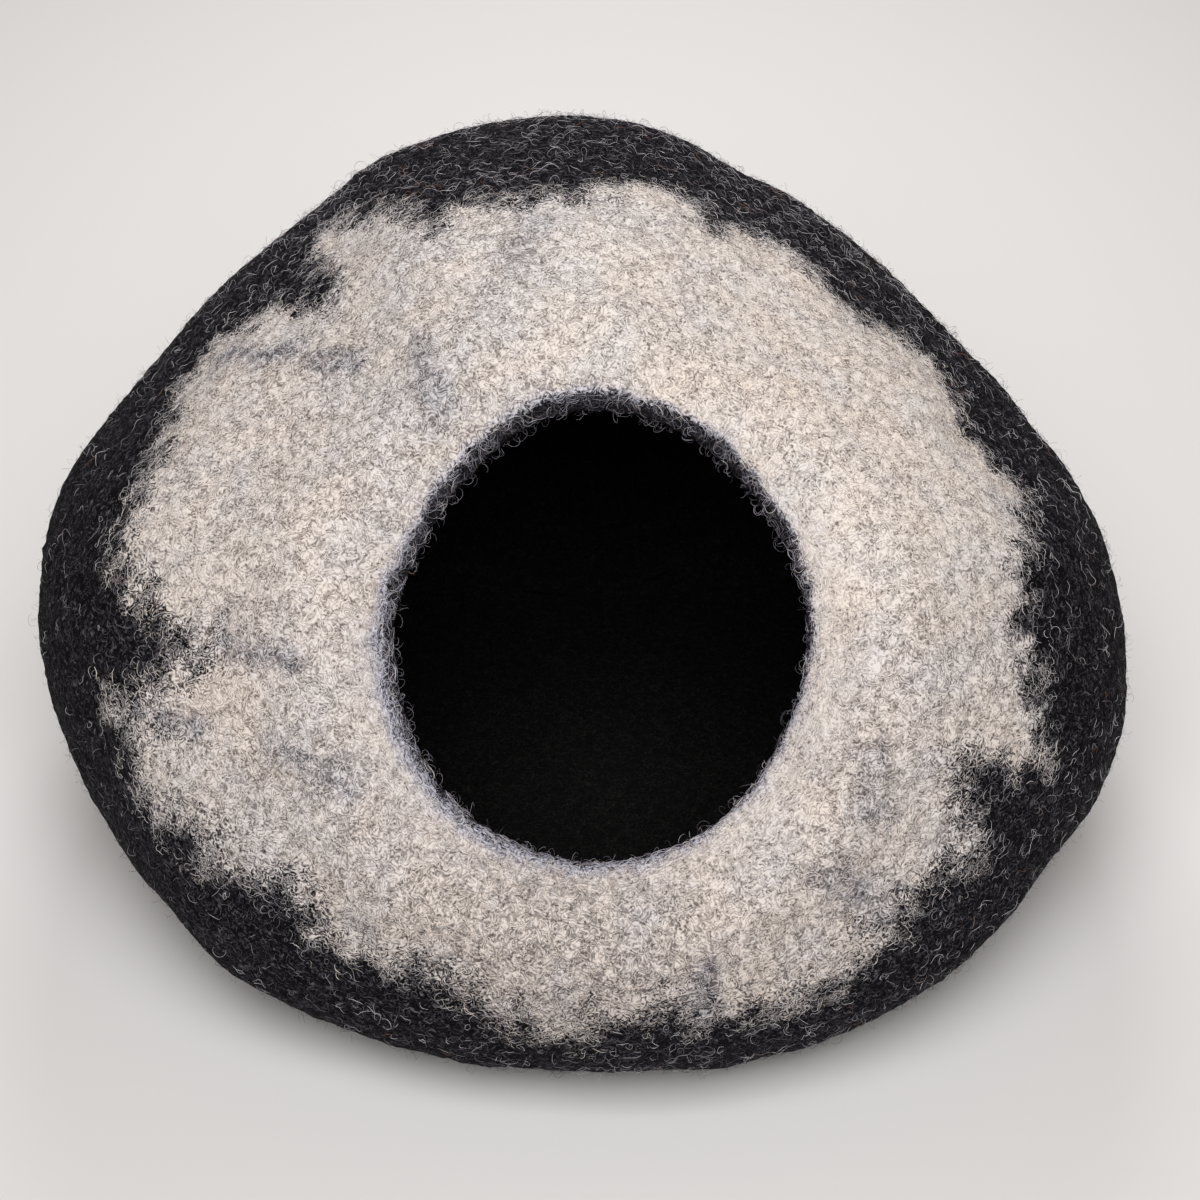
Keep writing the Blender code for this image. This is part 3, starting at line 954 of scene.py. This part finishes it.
def grow(name, material, weights, count, steps, radius, tone, step=0, curl=(0, 0), lift=0,
         free=0.15, combed=0.6, sway=0.0, loop=0.0, seed=0):
    """One piece of many fibres. weights say where they start, and they take so many steps of so
    many mm. radius is half their thickness in mm, curl the radians a mm that they turn by, lift how
    high they stand in mm, free the share of them that end in the air, combed the share that follow
    the rim, and sway how many mm they go up and down on their way. With loop, they stand up as arcs
    instead, about that many mm in radius."""
    random = np.random.default_rng(seed)
    share = (weights / weights.sum()).ravel()
    cell = random.choice(share.size, count, p=share)
    ring = cell // CLOCK_STEPS + random.uniform(0, 1, count)
    column = cell % CLOCK_STEPS + random.uniform(0, 1, count)
    heading = random.uniform(0, 2 * pi, count)
    along_rim = pi / 2 * random.choice([-1, 1], count) + random.normal(0, OFF_RIM, count)
    follows = random.uniform(0, 1, count) < rim.ravel()[cell] * combed
    heading = np.where(follows, along_rim, heading)
    bends = random.uniform(*curl, count) * random.choice([-1, 1], count)
    along = np.linspace(0, 1, steps)
    is_free = random.uniform(0, 1, count) < free
    arch = np.where(is_free[:, None], np.sin(pi / 2 * along), np.sin(pi * along) ** BROAD_ARCH)
    stands = np.minimum(random.gamma(LOW_LYING, lift / LOW_LYING, count), TALLEST * lift)
    swings = (random.uniform(*SWINGS, count)[:, None] * along
              + random.uniform(0, 2 * pi, count)[:, None])
    stands = np.maximum(stands[:, None] + sway * np.sin(swings), 0)
    heights = (stands + ROOT_DEPTH) * arch - ROOT_DEPTH
    if loop:
        sizes, sweeps = loop * random.uniform(*LOOP_SIZES, count), random.uniform(*LOOP_SWEEPS, count)
        lines, ups = arcs(random, ring, column, sizes, sweeps, steps)
    else:
        lines, ups = walk(random, ring, column, heading, step, bends, WANDER * step, heights)
    points, faces, each = tubes(lines, ups, radius * random.uniform(*THICKNESSES, count))
    piece = mesh_piece(name, points, faces, material, tone=np.repeat(tone(random, cell), each),
                       cool=np.repeat(cool.ravel()[cell], each))
    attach(piece, "root")
    return piece


# %% Fibres on the light wool, and round it
# Most loops are on the felt that turns away from the camera, where flat curls don't show.
AWAY_LEVEL, FEWEST_FACING = 1.25, 0.25
PATCH_RING = -4, 9          # mm: where the ring of curls round the patch lies, and how wide it is
RING_FROM_LIP = 25          # mm that it stays away from the lip

lies_away = np.clip(AWAY_LEVEL - skin_outwards @ to_camera, FEWEST_FACING, 1)
round_patch = on_face * near(depth, *PATCH_RING) * (lip_distance > RING_FROM_LIP)

fibres = [
    grow(f"light_curls_{i}", light_wool, on_face * light, count=3100, steps=7, step=1.3,
         radius=0.14, curl=(0.05, 0.45), lift=0.15, tone=mostly(0.35, 1, 0.7, lower_by=0.35 * grey),
         seed=10 + i)
    for i in (1, 2)]
fibres += [
    grow("light_loops", light_wool, on_face * light * lies_away, count=1900, steps=8, radius=0.1,
         loop=1.1, tone=mostly(0.3, 1, 0.8, lower_by=0.4 * grey), seed=20),
    grow("edge_curls", grey_wool, round_patch, count=3900, steps=8, step=1.2, radius=0.085,
         curl=(0.2, 0.9), lift=0.4, sway=0.5, tone=mostly(0.35, 1), seed=16),
]

# %% Fibres on the black wool
# every 30 degrees round the mouth: how many hairs show on the black. This is partly the wool's own
# hairiness and partly painted light. More pale hairs at the top, and twice the long hairs where the
# felt faces up, make the black lighter where the light falls from above.
HAIRY_AND_TOP_LIT = [2.2, 2.3, 1.2, 1, 1.2, 1.8, 1.9, 1.1, 0.4, 0.1, 0.9, 2.0]
TURNED_UP = 0.5             # the upward part of an outward direction
EDGE_ON = 0, 0.25           # where the felt is seen edge on, which is where the outline is
EDGE_EXTRA = 3              # how much more fuzz is there

hairy_and_top_lit = on_face * (1 - light) * around(clock, HAIRY_AND_TOP_LIT)
faces_up_to_light = skin_outwards[..., 2] > TURNED_UP
all_dark = cell_area * is_outer * off_base * (1 - light)
edge_on = near(skin_outwards @ to_camera, *EDGE_ON)
fibres += [
    grow("black_curls", black_wool, hairy_and_top_lit, count=3500, steps=9, step=1.2, radius=0.08,
         curl=(0.1, 0.6), lift=0.6, sway=0.6, tone=mostly(0.3, 1, 1.1), seed=13),
    grow("black_loops", black_wool, hairy_and_top_lit, count=900, steps=11, radius=0.075, loop=1.8,
         tone=mostly(0.35, 1), seed=21),
    grow("long_hairs", black_wool, hairy_and_top_lit * (1 + faces_up_to_light), count=1300, steps=13, step=1.2,
         radius=0.08, curl=(0.02, 0.35), lift=0.9, free=0.3, sway=1.0, tone=mostly(0.45, 1), seed=14),
    grow("fuzz", black_wool, all_dark * (1 + EDGE_EXTRA * edge_on), count=3000, steps=5, step=0.9,
         radius=0.06, curl=(0.1, 0.6), lift=2.0, free=0.9, tone=mostly(0.35, 0.8), seed=18),
]

# %% Fibres on the lip
# Curls lie on the black band that wraps over the lip, paler ones near its edge. Every 30 degrees
# round the mouth: how many light strands show on the lip.
STRANDS_SHOW = [0.3, 0.3, 0.3, 0.3, 0.4, 0.8, 1, 1, 1, 1, 0.6, 0.3]
BROAD_BAND = 8              # mm; a band less wide than this has fewer curls
DARKER_OVER, DARKEST = 12, 0.8          # mm into the band, and the most that comes off a tone
BAND_CURLS = -2, 4          # mm from the band's edge: where most are, and how widely they lie
BAND_STRANDS = 1, 5
LIP_LOOPS = 0, 2            # the same from the lip's middle

on_lip = cell_area * is_outer
past_band = lip_distance - around(clock, LIGHT_BEGINS)
banded = np.clip(around(clock, LIGHT_BEGINS) / BROAD_BAND, 0, 1)
off_band = np.clip(-past_band / DARKER_OVER, 0, DARKEST)
strands_show = around(clock, STRANDS_SHOW)
fibres += [
    grow("lip_curls", lip_wool, on_lip * banded * near(past_band, *BAND_CURLS), count=1050, steps=7,
         step=1.2, radius=0.065, curl=(0.1, 0.6), lift=0.4, free=0.2, combed=0.4,
         tone=mostly(0.3, 1, lower_by=off_band), seed=15),
    grow("lip_strands", lip_wool, on_lip * near(past_band, *BAND_STRANDS) * strands_show, count=800,
         steps=8, step=1.1, radius=0.095, curl=(0.02, 0.3), lift=0.3, combed=0.9,
         tone=mostly(0.55, 1), seed=19),
    grow("lip_loops", lip_wool, on_lip * near(lip_distance, *LIP_LOOPS), count=330, steps=15,
         radius=0.052, loop=1.9, tone=mostly(0.35, 1), seed=17),
]
print(len(fibres), "pieces of fibres")

# %% [markdown]
# ## Floor, light and camera
# The photograph was taken on a pale sweep, under a big softbox in front and above, with a smaller
# one behind that keeps the floor even and lights the top of the wool. A long lens from about a
# metre and a half away keeps the cave's sides from bulging.

# %% Floor
# Pale paper, uncoated, so it takes soft shadows and no gloss at all.
FLOOR_SIZE = 8.0            # m
bpy.ops.mesh.primitive_plane_add(size=FLOOR_SIZE)
floor = bpy.context.object
floor.name = "studio_floor"
floor_paper, floor_tree = new_material("pale_studio_paper")
paper = add(floor_tree, "BsdfPrincipled", {"Base Color": linear("#dad9d9"), "Roughness": 1.0,
                                           "Specular IOR Level": 0.0})
add(floor_tree, "OutputMaterial", {"Surface": paper})
floor.data.materials.append(floor_paper)
floor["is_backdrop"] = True
print("the floor is", FLOOR_SIZE, "m across")

# %% Light
SOFTBOXES = [
    # name, where it hangs, what it points at, its side, all in m, its power in W, its spread in degrees
    ("front_softbox", (0, -1.5, 2.0), (0, 0, 0), 1.6, 37.5, 132),
    ("back_softbox", (0, 0.9, 1.1), (0, 0.5, 0), 0.6, 7.8, 180),
]
FILL, FILL_COLOUR = 0.13, "#f2d4b8"                        # the studio's walls, a little warm

world = bpy.data.worlds.new("studio")
bpy.context.scene.world = world
world.use_nodes = True
background = world.node_tree.nodes["Background"]
background.inputs["Color"].default_value = linear(FILL_COLOUR)
background.inputs["Strength"].default_value = FILL
for name, stand, target, side, power, spread in SOFTBOXES:
    light_data = bpy.data.lights.new(name, "AREA")
    light_data.size, light_data.energy, light_data.spread = side, power, radians(spread)
    softbox = bpy.data.objects.new(name, light_data)
    softbox.location = stand
    softbox.rotation_euler = (Vector(stand) - Vector(target)).to_track_quat("Z", "Y").to_euler()
    bpy.context.scene.collection.objects.link(softbox)
    print(name, "gives", power, "W")

# %% Camera
CAMERA_DISTANCE = 1455      # mm from the body's centre
AIM_LEFT, AIM_UP = 1.4, 16  # mm that the camera aims to the left of the body's centre, and above it
LENS, SENSOR = 92.5, 36     # mm

view_up = np.array([0, sin(CAMERA_HEIGHT_ANGLE), cos(CAMERA_HEIGHT_ANGLE)])
stands = Vector((body_centre + to_camera * CAMERA_DISTANCE) * MM)
aims = Vector((body_centre + view_up * AIM_UP + np.array([-AIM_LEFT, 0, 0])) * MM)
lens = bpy.data.cameras.new("camera")
lens.lens, lens.sensor_width = LENS, SENSOR
camera = bpy.data.objects.new("camera", lens)
camera.location = stands
camera.rotation_euler = (aims - stands).to_track_quat("-Z", "Y").to_euler()
bpy.context.scene.collection.objects.link(camera)
bpy.context.scene.camera = camera
bpy.context.scene.view_settings.view_transform = "Standard"
print("the camera stands at", [round(value, 2) for value in stands], "m")

# %% Write the sizes, and finish
low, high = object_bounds()
print("the visual model is", [round(side / MM) for side in high - low], "mm")
